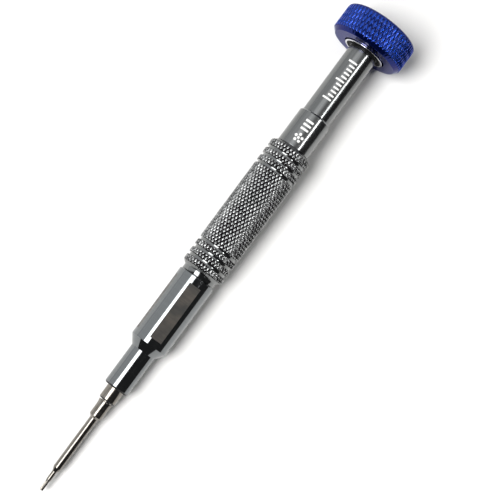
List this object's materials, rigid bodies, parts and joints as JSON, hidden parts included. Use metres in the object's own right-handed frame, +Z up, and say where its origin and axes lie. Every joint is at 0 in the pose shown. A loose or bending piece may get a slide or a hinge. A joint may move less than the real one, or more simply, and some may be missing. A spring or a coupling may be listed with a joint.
{
  "type": "precision screwdriver",
  "caption": "Precision screwdriver with a small star tip, polished nose, knurled steel grip and a blue fingertip cap that spins on a ball bearing.",
  "frame": {"origin": "bottom centre of the box, under the middle of the tool's length, on the lowest line of the cap's rim", "axes": "+X along the tool's axis from the tip to the cap, +Z up, +Y across"},
  "size_m": [0.1278, 0.018, 0.018],
  "materials": {
    "bit_steel": "bright nickel-plated tool steel, fine turning marks",
    "polished_steel": "mirror polished, milled flats left matte",
    "grip_steel": "fine diamond knurl, satin",
    "satin_gunmetal": "satin, fine streaks along the axis",
    "blue_anodised": "deep blue anodised, satin sheen",
    "bearing_steel": "ground and polished",
    "cage_steel": "pressed sheet, satin",
    "seal_rubber": "matte black",
    "fastener_steel": "bright zinc plated",
    "magnet_plate": "nickel plated"
  },
  "bodies": {
    "handle": {"front_body": "polished_steel", "bit_magnet": "magnet_plate", "tie_stud": "fastener_steel", "grip_sleeve": "grip_steel", "size_ring": "satin_gunmetal", "rear_barrel": "satin_gunmetal", "race_spacer": "fastener_steel", "bearing_inner_race": "bearing_steel", "retaining_washer": "fastener_steel", "lock_washer": "fastener_steel", "cap_screw": "fastener_steel"},
    "cap": {"cap_shell": "blue_anodised", "cap_plug": "blue_anodised", "bearing_outer_race": "bearing_steel", "bearing_seal_front": "seal_rubber", "bearing_seal_rear": "seal_rubber"},
    "cage": {"bearing_cage": "cage_steel", "bearing_balls": "bearing_steel"},
    "bit": {"driver_blade": "bit_steel", "hex_shank": "bit_steel"}
  },
  "joints": [
    {"name": "cap_spin", "type": "hinge", "parent": "handle", "child": "cap", "pos_m": [0.0579, 0, 0.009], "axis": [1, 0, 0], "continuous": true},
    {"name": "cage_spin", "type": "hinge", "parent": "handle", "child": "cage", "pos_m": [0.0579, 0, 0.009], "axis": [1, 0, 0], "continuous": true},
    {"name": "bit_pull", "type": "slide", "parent": "handle", "child": "bit", "axis": [-1, 0, 0], "range_m": [0, 0.012]}
  ],
  "couplings": [
    {"joint": "cage_spin", "follows": "cap_spin", "ratio": 0.575}
  ]
}
